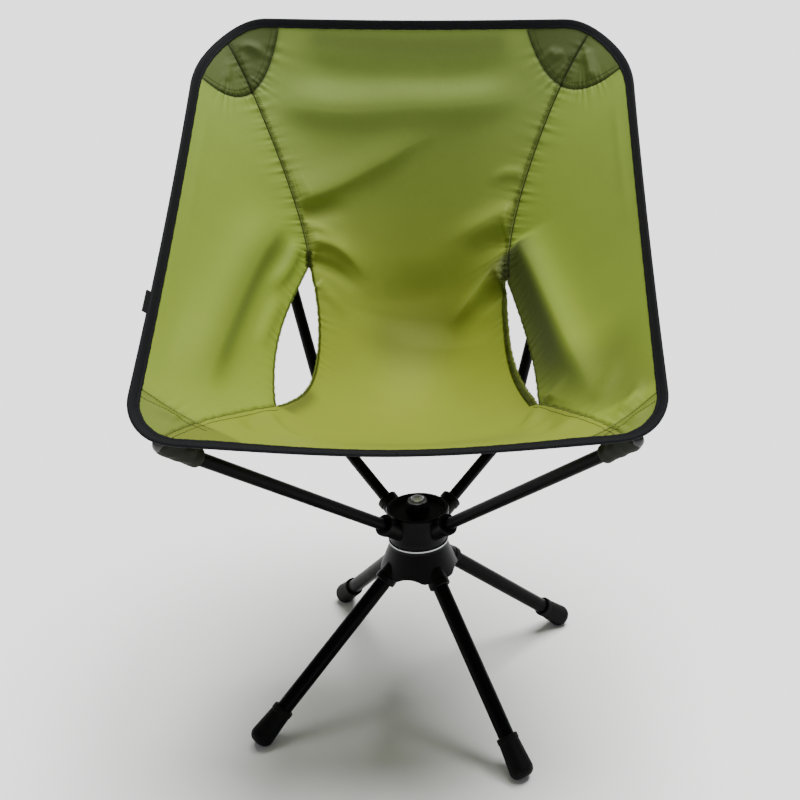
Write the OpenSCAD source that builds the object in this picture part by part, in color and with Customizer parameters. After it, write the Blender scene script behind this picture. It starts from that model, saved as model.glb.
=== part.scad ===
// Swivel camp chair: a four-legged base, a turning hub, a pole frame and a stretched fabric seat.
// The origin is on the floor on the swivel axis. +Z is up and the sitter faces -Y.
// Left and right are the sitter's: left is +X.

/* [Base] */
// Radius of the circle through the centres of the four rounded feet
foot_circle_r = 208; // [195:1:225]
// Height of the swivel plane above the floor
pivot_h = 198; // [190:1:210]
// Angle at which the base stands turned under the seat
base_yaw = -12; // [-40:1:40]
// Outer diameter of a leg tube
leg_d = 18; // [16:0.5:19]
// Wall of a leg tube
leg_wall = 1.2; // [0.8:0.1:1.6]
// Radius of a rubber foot at its blunt end
foot_r = 13.5; // [13:0.5:15]
// Length of a rubber foot's sleeve
foot_len = 38; // [34:1:46]

/* [Hubs] */
// Radius of the hubs where they meet at the swivel
hub_r = 33; // [32:0.5:35]
// Height of the upper hub's boss above the swivel plane
hub_h = 48; // [46:1:50]
// Depth of the lower hub's boss below the swivel plane
base_hub_h = 40; // [40:1:44]
// Radius of the upper hub's crown
crown_r = 36; // [34:1:38]
// Radius of the lower hub's skirt
skirt_r = 45; // [40:1:48]
// Outer diameter of a hub socket
socket_d = 23; // [22:0.5:25]
// Distance from the axis crossing to a socket's mouth
socket_len = 63; // [60:1:68]
// Distance from the axis crossing to a socket's floor
socket_floor = 24; // [23:1:27]
// Thickness of the steel ring between the hubs
ring_t = 1.6; // [1.2:0.2:2]
// Diameter of the swivel bolt's shank
bolt_d = 8; // [6:1:8]

/* [Pole frame] */
// Outer diameter of a seat pole
pole_d = 13.5; // [12:0.5:15]
// Wall of a seat pole
pole_wall = 0.9; // [0.7:0.1:1.1]
// Distance of a rear pole's bend from the swivel axis
bend_out = 152; // [145:1:160]
// Height of a rear pole's bend above the floor
bend_h = 285; // [275:1:292]
// Radius of a rear pole's bend
bend_r = 45; // [35:1:60]
// Length of the rear pole's bent section above its bend
joint_up = 190; // [150:5:230]

/* [Seat cloth] */
// Half width of the seat at its front corners
front_half_w = 242; // [230:1:255]
// Half width of the back at its top corners
top_half_w = 253; // [240:1:265]
// Height of the front corners
front_h = 430; // [420:1:440]
// Height of the top corners
top_h = 749; // [735:1:765]
// Distance of the front hem in front of the swivel axis
front_y = 229; // [220:1:240]
// Distance of the top hem behind the swivel axis
top_y = 270; // [260:1:280]
// Drop of the front hem at its middle
front_sag = 16; // [8:1:22]
// Thickness of the cloth
cloth_t = 1.4; // [1:0.2:2]
// Width of the binding tape round the rim
tape_w = 10; // [8:1:12]

/* [Hidden] */

$fn = 48;
fit = 0.05;             // radial clearance of a sliding fit
gap = 0.3;              // free space between parts that only lie close

// legs
foot_flat = 0.7;        // how much of the blunt end is worn flat
foot_corner = 9;        // rounding of the blunt end
leg_slope = 0.745;      // cosine of a leg's angle to the floor
foot_z = foot_corner + leg_slope * (foot_r - foot_corner) - foot_flat;
leg_drop = atan2(pivot_h - foot_z, foot_circle_r);
leg_len = norm([pivot_h - foot_z, foot_circle_r]);
leg_end = leg_len - 7;  // where the tube ends inside its foot
cord_d = 3;
knot_d = 6.5;

// hubs, measured away from the swivel plane
crown_h = 40;
dish_h = 35;
boss_r = 12;
skirt_h = 37;
base_boss_r = 20;
arch_r = 26;            // arches in the skirt's edge between the legs
arch_h = 31;
collar_len = 7;
collar_d = socket_d + 1.6;
disc_t = 1.2;
disc_gap = 0.1;
bush_d = 14;
washer_t = 1.8;
head_h = 2.6;
head_r = 7.3;
key_af = 6;
key_depth = 1.7;
nut_af = 13;
nut_h = 8;
nut_floor = 26;
pocket_r = 12;

// seat surface: a bowl between a centre line and the two side rims
bowl_low = [158, 279];  // control point of the centre line, as [y, z]
bowl_pull = 2.2;        // how tightly the centre line bends towards it
bowl_flat = 0.45;       // share of the half width that stays nearly flat
rim_pull = [-2, 21, -11];
front_corner = [0.20, 50];  // corner rounding: share of the half width, and length along the rim
top_corner = [0.30, 110];
vent_low = 0.145;       // where a vent begins and ends, as shares of the rim length
vent_high = 0.63;
vent_in = 0.447;
seam_front = 0.93;
wing_top = 0.974;
seam_top_rise = 0.42;
step_u = 0.002;
seam_gap = 0.003;

front_tip_at = [0.87, 0.024];
rear_tip_at = [0.86, 0.94];
tip_depth = 13.6;        // how far a pole tip's axis lies behind the cloth
tip_r = pole_d / 2 + 0.95;
tip_len = 14;
tip_shoulder = 2;       // where a tip's round end begins, before the tip's point
pole_back = 3;          // how far a pole ends before its tip's point
pocket_len = 36;

function lerp(a, b, t) = a + (b - a) * t;
function unit(v) = v / norm(v);
function clamp01(t) = max(0, min(1, t));

function rim_front() = [front_half_w, -front_y, front_h];
function rim_top() = [top_half_w, top_y, top_h];
function rim_mid() = (rim_front() + rim_top()) / 2 + rim_pull;
function rim_pt(v) = pow(1 - v, 2) * rim_front() + 2 * v * (1 - v) * rim_mid() + v * v * rim_top();
function centre_pt(v) =
    let (a = pow(1 - v, 2), b = 2 * bowl_pull * v * (1 - v), c = v * v)
    (a * [-front_y, front_h - front_sag] + b * bowl_low + c * [top_y, top_h - 3]) / (a + b + c);
function spread(u) = (norm([bowl_flat, u]) - bowl_flat) / (norm([bowl_flat, 1]) - bowl_flat);
function cloth(u, v) =
    let (s = rim_pt(v), c = centre_pt(v), t = spread(u))
    [u * s[0], lerp(c[0], s[1], t), lerp(c[1], s[2], t)];
function cloth_n(u, v) =
    unit(cross(cloth(u + step_u, v) - cloth(u - step_u, v), cloth(u, v + step_u) - cloth(u, v - step_u)));
function cloth_at(u, v, off) = cloth(u, v) + cloth_n(u, v) * off;

// the outline and the seams, as half widths at a share v of the rim length
function v_rate(u, v) = norm(cloth(u, v + step_u) - cloth(u, v - step_u)) / (2 * step_u);
function corner_pt(corner, v, a) =
    let (u = 1 - corner[0] * (1 - cos(a))) [u, abs(v - corner[1] * (1 - sin(a)) / v_rate(u, v))];
front_curve = [for (a = [90:-5:0]) corner_pt(front_corner, 0, a)];
top_curve = [for (a = [0:5:90]) corner_pt(top_corner, 1, a)];
function swapped(pts) = [for (q = pts) [q[1], q[0]]];
function edge_u(v) = v < 0.5 ? lookup(v, swapped(front_curve)) : lookup(v, swapped(top_curve));
function edge_v_front(u) = lookup(u, front_curve);
function edge_v_top(u) = lookup(u, top_curve);
function vent_t(v) = clamp01((v - vent_low) / (vent_high - vent_low));
function seam_low(v) = lerp(seam_front, 0.535, v / vent_low);
function seam_high(v) = 0.46 + seam_top_rise * pow((v - 0.62) / 0.37, 2);
function panel_seam(v) =
    v <= vent_low ? seam_low(v) :
    v >= vent_high ? seam_high(v) :
    vent_in + 0.088 * pow(1 - vent_t(v), 5) + 0.013 * pow(vent_t(v), 4);
function wing_seam(v) =
    v <= vent_low ? seam_low(v) :
    v >= vent_high ? seam_high(v) :
    0.535 - 0.075 * pow(vent_t(v), 3) + 0.045 * sin(180 * pow(vent_t(v), 0.8));

// stretches of v that are closer together near the hems
function soften(t) = (t + (1 - cos(180 * t)) / 2) / 2;

// a leg's and a pole's own direction
function az(d) = atan2(d[1], d[0]);
function tilt(d) = acos(d[2] / norm(d));
pivot = [0, 0, pivot_h];
front_tip = cloth_at(front_tip_at[0], front_tip_at[1], -tip_depth);
rear_tip = cloth_at(rear_tip_at[0], rear_tip_at[1], -tip_depth);
bend = [bend_out * cos(45), bend_out * sin(45), bend_h];
front_dir = unit(front_tip - pivot);
front_len = norm(front_tip - pivot);
low_dir = unit(bend - pivot);
low_len = norm(bend - pivot);
up_dir = unit(rear_tip - bend);
up_len = norm(rear_tip - bend);
bend_angle = acos(low_dir * up_dir);
bend_run = bend_r * tan(bend_angle / 2);
bend_side = unit(up_dir - (up_dir * low_dir) * low_dir);
bend_centre = bend - low_dir * bend_run + bend_side * bend_r;

leg_azimuth = [-45, -135, 45, 135];     // front left, front right, rear left, rear right

module aim(p, d) {
    translate(p) rotate([0, 0, az(d)]) rotate([0, tilt(d), 0]) children();
}

module on_leg(i) {
    rotate([0, 0, base_yaw + leg_azimuth[i]])
        translate(pivot) rotate([0, 90 + leg_drop, 0]) children();
}

module tube(d, wall, from, to) {
    translate([0, 0, from]) difference() {
        cylinder(d = d, h = to - from);
        translate([0, 0, -1]) cylinder(d = d - 2 * wall, h = to - from + 2);
    }
}

module other_side(right) {
    mirror([right ? 1 : 0, 0, 0]) children();
}

// base -------------------------------------------------------------------------------------

module socket_outside() {
    rotate_extrude() polygon([
        [0, 6], [socket_d / 2 - 1, 6], [socket_d / 2, 20], [socket_d / 2, socket_len - collar_len - 1.2],
        [collar_d / 2, socket_len - collar_len], [collar_d / 2, socket_len - 1],
        [collar_d / 2 - 1, socket_len], [0, socket_len]
    ]);
}

module socket_bore(d) {
    translate([0, 0, socket_floor]) cylinder(d = d + 2 * fit, h = socket_len);
    translate([0, 0, socket_len - 1.5]) cylinder(r1 = d / 2 + fit, r2 = d / 2 + 2, h = 2);
}

// the solid of revolution of the lower hub, hanging from the swivel plane: a drum and a flared skirt
module skirt() {
    top = ring_t / 2;
    mirror([0, 0, 1]) rotate_extrude() polygon([
        [0, top], [hub_r - 0.8, top], [hub_r, top + 0.8], [hub_r + 0.5, 5],
        [skirt_r, skirt_h - 2], [skirt_r - 1.5, skirt_h], [base_boss_r, skirt_h],
        [base_boss_r - 2, base_hub_h], [0, base_hub_h]
    ]);
}

module lower_hub() {
    color("#17181a") difference() {
        union() {
            difference() {
                translate(pivot) skirt();
                for (i = [0:3]) rotate([0, 0, base_yaw + 90 * i])
                    translate([base_boss_r + 2, 0, pivot_h - arch_h - arch_r])
                        rotate([0, 90, 0]) cylinder(r = arch_r, h = skirt_r);
            }
            for (i = [0:3]) on_leg(i) socket_outside();
        }
        for (i = [0:3]) on_leg(i) socket_bore(leg_d);
        translate([0, 0, pivot_h - ring_t / 2]) cylinder(r = hub_r + 5, h = socket_d);
        translate([0, 0, pivot_h - base_hub_h - 1]) cylinder(d = bolt_d + 4 * fit, h = base_hub_h + 2);
        translate([0, 0, pivot_h - base_hub_h - 1]) cylinder(r = pocket_r, h = base_hub_h + 1 - nut_floor);
    }
}

module swivel_bolt() {
    top = pivot_h + hub_h + 0.4 + washer_t;
    color("#c9ccd0") difference() {
        union() {
            translate([0, 0, pivot_h - nut_floor - washer_t - nut_h - 3])
                cylinder(d = bolt_d, h = nut_floor + 2 * washer_t + nut_h + 3 + hub_h + 0.5);
            translate([0, 0, top]) cylinder(r = head_r, h = head_h - 1);
            translate([0, 0, top + head_h - 1]) cylinder(r1 = head_r, r2 = head_r - 1, h = 1);
        }
        translate([0, 0, top + head_h - key_depth]) cylinder(r = key_af / sqrt(3), h = head_h, $fn = 6);
    }
}

module lock_nut() {
    color("#b9bcc0") translate([0, 0, pivot_h - nut_floor - washer_t - nut_h]) difference() {
        union() {
            cylinder(r = nut_af / sqrt(3), h = nut_h - 2, $fn = 6);
            cylinder(d = nut_af - 1, h = nut_h - 0.02);
        }
        translate([0, 0, -1]) cylinder(d = bolt_d + 2 * fit, h = nut_h + 2);
    }
}

module washer(r, z) {
    color("#c4c7cb") translate([0, 0, z]) difference() {
        cylinder(r = r, h = washer_t - 0.05);
        translate([0, 0, -1]) cylinder(d = bolt_d + 0.5, h = washer_t + 2);
    }
}

module lower_washer() { washer(10, pivot_h - nut_floor - washer_t); }
module top_washer() { washer(10.7, pivot_h + hub_h + 0.35); }

module swivel_ring() {
    color("#d0d3d6") translate([0, 0, pivot_h - ring_t / 2]) difference() {
        cylinder(r = hub_r + 1.3, h = ring_t);
        translate([0, 0, -1]) cylinder(d = bolt_d + 0.5, h = ring_t + 2);
    }
}

module leg_tube(i) {
    color("#141516") on_leg(i) tube(leg_d, leg_wall, socket_floor + 0.1, leg_end);
}

module foot(i) {
    sleeve_r = foot_r - 2;
    lip_r = sleeve_r + 0.6;
    start = leg_len - foot_len;
    end = [for (a = [0:15:90])
        [foot_r - foot_corner + foot_corner * cos(a), leg_len + foot_corner * sin(a)]];
    side = [[0, start], [lip_r - 0.8, start], [lip_r, start + 1], [lip_r, start + 6], [sleeve_r, start + 7]];
    color("#0f0f10") difference() {
        on_leg(i) rotate_extrude() difference() {
            polygon(concat(side, end, [[0, leg_len + foot_corner]]));
            translate([0, start - 1]) square([leg_d / 2 + fit, leg_end + 1.1 - start]);
        }
        translate([-foot_circle_r * 2, -foot_circle_r * 2, -foot_circle_r])
            cube([foot_circle_r * 4, foot_circle_r * 4, foot_circle_r]);
    }
}

module cord(from, to) {
    translate([0, 0, from]) cylinder(d = cord_d, h = to - from);
    translate([0, 0, from + knot_d / 2]) sphere(d = knot_d);
    translate([0, 0, to - knot_d / 2]) sphere(d = knot_d);
}

module leg_cord(i) {
    color("#2b2b2b") on_leg(i) cord(socket_floor + 1, leg_end - 1);
}

// turning frame ----------------------------------------------------------------------------

// the solid of revolution of the upper hub, standing on the swivel plane: a drum with a dished crown
module crown(from) {
    rotate_extrude() polygon([
        [0, from], [hub_r - 0.8, from], [hub_r, from + 0.8], [hub_r, from + 6],
        [crown_r, crown_h - 2], [crown_r - 1, crown_h], [crown_r - 3.5, crown_h],
        [crown_r - 5, dish_h + 2], [crown_r - 7, dish_h], [boss_r + 2, dish_h], [boss_r + 0.5, dish_h + 2],
        [boss_r, hub_h], [0, hub_h]
    ]);
}

module upper_hub() {
    from = ring_t / 2 + disc_gap + gap;
    color("#17181a") difference() {
        union() {
            translate(pivot) crown(from);
            for (right = [false, true]) other_side(right) {
                aim(pivot, front_dir) socket_outside();
                aim(pivot, low_dir) socket_outside();
            }
        }
        for (right = [false, true]) other_side(right) {
            aim(pivot, front_dir) socket_bore(pole_d);
            aim(pivot, low_dir) socket_bore(pole_d);
        }
        cylinder(d = bush_d + 2 * fit, h = pivot_h + hub_h + 1);
        cylinder(r = hub_r - 3 + fit, h = pivot_h + ring_t / 2 + disc_gap + disc_t);
        translate([0, 0, pivot_h + from - socket_d]) cylinder(r = hub_r + 5, h = socket_d);
        translate([0, 0, pivot_h + hub_h]) cylinder(r = boss_r, h = socket_d);
    }
}

module slide_disc() {
    color("#e4e2da") translate([0, 0, pivot_h + ring_t / 2 + disc_gap]) difference() {
        cylinder(r = hub_r - 3, h = disc_t - 0.02);
        translate([0, 0, -1]) cylinder(d = bolt_d + 0.6, h = disc_t + 2);
    }
}

module swivel_bush() {
    start = pivot_h + ring_t / 2 + disc_gap + disc_t + 0.02;
    color("#dedbd0") translate([0, 0, start]) difference() {
        cylinder(d = bush_d, h = pivot_h + hub_h - start);
        translate([0, 0, -1]) cylinder(d = bolt_d + 2 * fit, h = hub_h + 2);
    }
}

module front_pole(right) {
    color("#141516") other_side(right) aim(pivot, front_dir)
        tube(pole_d, pole_wall, socket_floor + 0.1, front_len - pole_back);
}

// a round rod or tube swept along the bent rear pole, from one place on it to another
function bent_path(from, to, steps) = concat(
    [pivot + low_dir * from, pivot + low_dir * (low_len - bend_run)],
    [for (k = [1:steps])
        let (a = bend_angle * k / steps)
        bend_centre - bend_side * bend_r * cos(a) + low_dir * bend_r * sin(a)],
    [bend + up_dir * to]);

function rings(path, r, sides) =
    let (n = len(path), across = unit(cross(low_dir, up_dir)))
    [for (k = [0:n - 1])
        let (way = unit(path[min(k + 1, n - 1)] - path[max(k - 1, 0)]), side = cross(way, across))
        for (s = [0:sides - 1]) path[k] + r * (cos(360 * s / sides) * across + sin(360 * s / sides) * side)];

function ring_walls(n, sides, first, inward) =
    [for (k = [0:n - 2]) for (s = [0:sides - 1])
        let (
            a = first + k * sides + s,
            b = first + k * sides + (s + 1) % sides,
            c = b + sides,
            d = a + sides
        )
        each (inward ? [[a, c, b], [a, d, c]] : [[a, b, c], [a, c, d]])];

module rear_lower_pole(right) {
    sides = 24;
    path = bent_path(socket_floor + 0.1, joint_up, 9);
    n = len(path);
    all = n * sides;
    last = all - sides;
    mouths = [for (s = [0:sides - 1])
        let (t = (s + 1) % sides)
        each [
            [s, all + s, all + t], [s, all + t, t],
            [last + s, last + t, all + last + t], [last + s, all + last + t, all + last + s]
        ]];
    color("#141516") other_side(right) polyhedron(
        points = concat(rings(path, pole_d / 2, sides), rings(path, pole_d / 2 - pole_wall, sides)),
        faces = concat(ring_walls(n, sides, 0, false), ring_walls(n, sides, all, true), mouths));
}

module rear_upper_pole(right) {
    color("#141516") other_side(right) aim(bend, up_dir)
        tube(pole_d, pole_wall, joint_up + 0.2, up_len - pole_back);
}

module rear_ferrules() {
    for (right = [false, true])
        color("#9da1a6") other_side(right) aim(bend, up_dir)
            tube(pole_d - 2 * pole_wall - 2 * fit, 1, joint_up - 35, joint_up + 35);
}

module pole_tip() {
    rotate_extrude() difference() {
        union() {
            translate([0, -tip_len]) square([tip_r, tip_len - tip_shoulder]);
            intersection() {
                translate([0, -tip_shoulder]) circle(r = tip_r);
                translate([0, -tip_shoulder]) square([tip_r, tip_r]);
            }
        }
        translate([0, -tip_len - 1]) square([pole_d / 2 + fit, tip_len - pole_back + 1.1]);
    }
}

module pole_tips() {
    for (right = [false, true]) color("#101011") other_side(right) {
        aim(front_tip, front_dir) pole_tip();
        aim(rear_tip, up_dir) pole_tip();
    }
}

module front_pole_cords() {
    for (right = [false, true])
        color("#2b2b2b") other_side(right) aim(pivot, front_dir) cord(socket_floor + 1, front_len - 4);
}

module rear_cord() {
    sides = 8;
    path = bent_path(socket_floor + 4, up_len - 6, 8);
    n = len(path);
    ends = [[for (s = [0:sides - 1]) sides - 1 - s], [for (s = [0:sides - 1]) (n - 1) * sides + s]];
    polyhedron(
        points = rings(path, cord_d / 2, sides), faces = concat(ring_walls(n, sides, 0, false), ends));
}

module rear_pole_cords() {
    for (right = [false, true]) color("#2b2b2b") other_side(right) rear_cord();
}

// cloth ------------------------------------------------------------------------------------

// a closed sheet over rows of [u, v], between two distances from the seat surface
module sheet(rows, top, bottom) {
    nr = len(rows);
    nc = len(rows[0]);
    n = nr * nc;
    pts = concat(
        [for (r = rows) for (q = r) cloth_at(q[0], q[1], top)],
        [for (r = rows) for (q = r) cloth_at(q[0], q[1], bottom)]);
    skin = [for (i = [0:nr - 2]) for (j = [0:nc - 2])
        let (a = i * nc + j, b = a + 1, d = a + nc, c = d + 1)
        each [[a, d, c], [a, c, b], [n + a, n + b, n + c], [n + a, n + c, n + d]]];
    hems = [for (j = [0:nc - 2])
        let (a = j, b = j + 1, e = (nr - 1) * nc + j, f = e + 1)
        each [[a, b, n + b], [a, n + b, n + a], [e, n + e, n + f], [e, n + f, f]]];
    sides = [for (i = [0:nr - 2])
        let (a = i * nc, d = a + nc, e = a + nc - 1, f = e + nc)
        each [[d, a, n + a], [d, n + a, n + d], [e, f, n + f], [e, n + f, n + e]]];
    polyhedron(points = pts, faces = concat(skin, hems, sides));
}

function row(u0, u1, v, n) = [for (j = [0:n]) [lerp(u0, u1, j / n), v]];

module seat_panel() {
    rows = [for (i = [0:28])
        let (v = lerp(0.002, 0.998, soften(i / 28)), e = min(edge_u(v), panel_seam(v)) - seam_gap)
        row(-e, e, v, 14)];
    color("#7f8f2c") sheet(rows, cloth_t / 2, -cloth_t / 2);
}

module wing(right) {
    rows = [for (i = [0:26])
        let (v = lerp(0.014, wing_top, soften(i / 26)))
        row(wing_seam(v) + seam_gap, edge_u(v), v, 6)];
    color("#76862a") other_side(right) sheet(rows, cloth_t / 2, -cloth_t / 2);
}

module patch_under(rows) {
    for (right = [false, true])
        other_side(right) sheet(rows, -cloth_t / 2 - 0.15, -cloth_t / 2 - 0.95);
}

module front_patches() {
    rows = [for (i = [0:6])
        let (t = i / 6)
        [for (j = [0:8]) let (u = lerp(0.68, 0.985, j / 8))
            [u, lerp(edge_v_front(u) + 0.002, 0.28 * (u - 0.63), t)]]];
    color("#6c7a26") patch_under(rows);
}

module back_patches() {
    rows = [for (i = [0:6])
        let (t = i / 6)
        [for (j = [0:9]) let (u = lerp(0.62, 0.985, j / 9), low = 0.85 + 0.14 * pow(1 - (u - 0.6) / 0.4, 1.8))
            [u, lerp(low, edge_v_top(u) - 0.002, t)]]];
    color("#6c7a26") patch_under(rows);
}

// a sewn boot round a pole tip, open towards the pole
module pocket_boot() {
    inner = tip_r + 0.4;
    wall = 1.2;
    low = -pocket_len;
    end = tip_r - tip_shoulder + 0.5;
    taper = 3;
    rotate_extrude() difference() {
        polygon([[0, low], [inner + wall, low], [inner + wall, 2], [inner + wall - taper, end + wall],
            [0, end + wall]]);
        polygon([[0, low - 1], [inner, low - 1], [inner, 2], [inner - taper, end], [0, end]]);
    }
}

module front_pocket(right) {
    color("#4d5620") other_side(right) aim(front_tip, front_dir) pocket_boot();
}

module back_pocket(right) {
    color("#4d5620") other_side(right) aim(rear_tip, up_dir) pocket_boot();
}

// tape folded over the cloth's edge all the way round
function rim_uv(t) =
    let (q = floor(t), f = t - q, a = 90 * f)
    q == 0 ? [lerp(0, 1 - front_corner[0], f), 0] :
    q == 1 ? corner_pt(front_corner, 0, 90 - a) :
    q == 2 ? [1, lerp(corner_pt(front_corner, 0, 0)[1], corner_pt(top_corner, 1, 0)[1], f)] :
    q == 3 ? corner_pt(top_corner, 1, a) :
    [lerp(1 - top_corner[0], 0, f), 1];

module rim_binding() {
    half = 2;
    slot = cloth_t / 2 + 0.2;
    section = [[-1.2, -half], [-1.2, half], [tape_w, half], [tape_w, slot], [0.3, slot],
        [0.3, -slot], [tape_w, -slot], [tape_w, -half]];
    counts = [6, 6, 15, 8, 6];
    one_side = [for (q = [0:4]) for (k = [0:counts[q] - 1]) rim_uv(q + k / counts[q])];
    mirrored = [for (k = [len(one_side) - 1:-1:1]) [-one_side[k][0], one_side[k][1]]];
    path = concat(one_side, [[0, 1]], mirrored);
    n = len(path);
    m = len(section);
    pts = [for (k = [0:n - 1])
        let (
            p = path[k],
            before = path[(k + n - 1) % n],
            after = path[(k + 1) % n],
            up = cloth_n(p[0], p[1]),
            way = unit(cloth(after[0], after[1]) - cloth(before[0], before[1])),
            inward = unit(cross(up, way))
        )
        for (s = section) cloth(p[0], p[1]) + inward * s[0] + up * s[1]];
    faces = [for (k = [0:n - 1]) for (s = [0:m - 1])
        let (a = k * m + s, b = k * m + (s + 1) % m, c = (k + 1) % n * m + (s + 1) % m, d = (k + 1) % n * m + s)
        each [[a, b, c], [a, c, d]]];
    color("#131313") polyhedron(points = pts, faces = faces);
}

module side_tab() {
    rows = [for (i = [0:4]) row(1.006, 1.03, lerp(0.245, 0.288, i / 4), 1)];
    color("#131313") other_side(true) sheet(rows, 1.2, -1.2);
}

lower_hub();
swivel_bolt();
lock_nut();
lower_washer();
top_washer();
swivel_ring();
leg_tube(0);  // leg_tube_front_left
leg_tube(1);  // leg_tube_front_right
leg_tube(2);  // leg_tube_rear_left
leg_tube(3);  // leg_tube_rear_right
foot(0);  // foot_front_left
foot(1);  // foot_front_right
foot(2);  // foot_rear_left
foot(3);  // foot_rear_right
leg_cord(0);  // leg_cord_front_left
leg_cord(1);  // leg_cord_front_right
leg_cord(2);  // leg_cord_rear_left
leg_cord(3);  // leg_cord_rear_right
upper_hub();
slide_disc();
swivel_bush();
front_pole(false);  // front_pole_left
front_pole(true);  // front_pole_right
rear_lower_pole(false);  // rear_lower_pole_left
rear_lower_pole(true);  // rear_lower_pole_right
rear_upper_pole(false);  // rear_upper_pole_left
rear_upper_pole(true);  // rear_upper_pole_right
rear_ferrules();
pole_tips();
front_pole_cords();
rear_pole_cords();
seat_panel();
wing(false);  // wing_left
wing(true);  // wing_right
front_patches();
back_patches();
front_pocket(false);  // front_pocket_left
front_pocket(true);  // front_pocket_right
back_pocket(false);  // back_pocket_left
back_pocket(true);  // back_pocket_right
rim_binding();
side_tab();
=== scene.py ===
"""Looks of the swivel camp chair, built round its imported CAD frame. Lengths are in metres.

The frame keeps its CAD shapes and gets materials. The cloth, its binding, patches, pockets, tab and
stitching are made here at full detail on the same seat surface that the CAD solids follow.
"""

import math
from collections import namedtuple

import bpy
import numpy as np
from mathutils import Matrix, Vector


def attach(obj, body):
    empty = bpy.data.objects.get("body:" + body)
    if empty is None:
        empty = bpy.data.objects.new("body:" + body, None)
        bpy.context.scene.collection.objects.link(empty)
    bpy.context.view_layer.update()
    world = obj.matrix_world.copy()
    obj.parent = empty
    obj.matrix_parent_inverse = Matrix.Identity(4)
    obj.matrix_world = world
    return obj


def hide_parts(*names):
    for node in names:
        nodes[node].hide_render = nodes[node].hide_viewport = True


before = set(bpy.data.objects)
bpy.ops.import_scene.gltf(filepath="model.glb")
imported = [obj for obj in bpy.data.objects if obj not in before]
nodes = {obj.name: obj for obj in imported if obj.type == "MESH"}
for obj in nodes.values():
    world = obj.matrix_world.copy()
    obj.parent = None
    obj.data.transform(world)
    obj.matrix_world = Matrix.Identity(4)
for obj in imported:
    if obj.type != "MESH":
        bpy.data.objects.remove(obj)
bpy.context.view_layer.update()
LEFT, RIGHT = 1, -1     # the sitter's left is +X
SIDE_NAME = {LEFT: "left", RIGHT: "right"}
CORNERS = ("front_left", "front_right", "rear_left", "rear_right")


def add_object(name, data):
    made = bpy.data.objects.new(name, data)
    bpy.context.scene.collection.objects.link(made)
    return made


# camera -----------------------------------

CAM_AT = Vector((0.0714, -1.0788, 0.8234))
CAM_YAW, CAM_PITCH, CAM_ROLL = 0.0323, 0.3980, 0.0041
CAM_LENS = 48.04
CAM_SHIFT = -0.1387     # the object stands off the middle of the lens's own picture


def add_camera():
    ahead = Vector((
        math.sin(CAM_YAW) * math.cos(CAM_PITCH),
        math.cos(CAM_YAW) * math.cos(CAM_PITCH),
        -math.sin(CAM_PITCH),
    ))
    right = ahead.cross(Vector((0, 0, 1))).normalized()
    up = right.cross(ahead)
    c, s = math.cos(CAM_ROLL), math.sin(CAM_ROLL)
    axes = (c * right + s * up, -s * right + c * up, -ahead)
    cam = add_object("camera", bpy.data.cameras.new("camera"))
    cam.matrix_world = Matrix.Translation(CAM_AT) @ Matrix(axes).transposed().to_4x4()
    cam.data.lens = CAM_LENS
    cam.data.shift_x = CAM_SHIFT
    cam.data.clip_start = 0.01
    bpy.context.scene.camera = cam


add_camera()

# seat surface: the same one the CAD solids 

RIM_FRONT = np.array((0.242, -0.229, 0.430))
RIM_TOP = np.array((0.253, 0.270, 0.749))
RIM_MID = (RIM_FRONT + RIM_TOP) / 2 + (-0.002, 0.021, -0.011)
CENTRE = np.array(((-0.229, 0.414), (0.158, 0.279), (0.270, 0.746)))
BOWL_PULL = 2.2
BOWL_FLAT = 0.45
FRONT_CORNER = (0.20, 0.050)    # share of the half width, and length along the rim
TOP_CORNER = (0.30, 0.110)
VENT_LOW, VENT_HIGH = 0.145, 0.63
STEP = 0.002
CLOTH_T = 0.0009


def spread(u):
    return (np.hypot(BOWL_FLAT, u) - BOWL_FLAT) / (np.hypot(BOWL_FLAT, 1) - BOWL_FLAT)


def smooth_cloth(u, v):
    u, v = np.broadcast_arrays(np.asarray(u, float), np.asarray(v, float))
    w = v[..., None]
    rim = (1 - w) ** 2 * RIM_FRONT + 2 * w * (1 - w) * RIM_MID + w * w * RIM_TOP
    a, b, c = (1 - w) ** 2, 2 * BOWL_PULL * w * (1 - w), w * w
    mid = (a * CENTRE[0] + b * CENTRE[1] + c * CENTRE[2]) / (a + b + c)
    t = spread(u)[..., None]
    return np.concatenate([u[..., None] * rim[..., :1], mid + (rim[..., 1:] - mid) * t], -1)


def unit(a):
    return a / np.maximum(np.linalg.norm(a, axis=-1, keepdims=True), 1e-12)


def rates(u, v):
    """Where the smooth surface goes per unit of u and per unit of v."""
    du = smooth_cloth(u + STEP, v) - smooth_cloth(u - STEP, v)
    dv = smooth_cloth(u, v + STEP) - smooth_cloth(u, v - STEP)
    return du / (2 * STEP), dv / (2 * STEP)


def cloth_normal(u, v):
    return unit(np.cross(*rates(u, v)))


def run_along(points):
    """The distance along a line at each of its points."""
    return np.concatenate([[0], np.cumsum(np.linalg.norm(np.diff(points, axis=0), axis=1))])


def corner_curve(corner, v, turn):
    """Points of a rounded corner, from the side rim (turn 0) to the hem (turn 1)."""
    a = turn * math.pi / 2
    u = 1 - corner[0] * (1 - np.cos(a))
    rate = np.linalg.norm(rates(u, v)[1], axis=-1)
    return u, np.abs(v - corner[1] * (1 - np.sin(a)) / rate)


TURNS = np.linspace(0, 1, 60)
FRONT_U, FRONT_V = corner_curve(FRONT_CORNER, 0, TURNS)
TOP_U, TOP_V = corner_curve(TOP_CORNER, 1, TURNS)


def edge_u(v):
    return np.minimum(np.interp(v, FRONT_V[::-1], FRONT_U[::-1]), np.interp(v, TOP_V, TOP_U))


def edge_v_front(u):
    return np.interp(u, FRONT_U[::-1], FRONT_V[::-1])


def edge_v_top(u):
    return np.interp(u, TOP_U[::-1], TOP_V[::-1])


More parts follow.
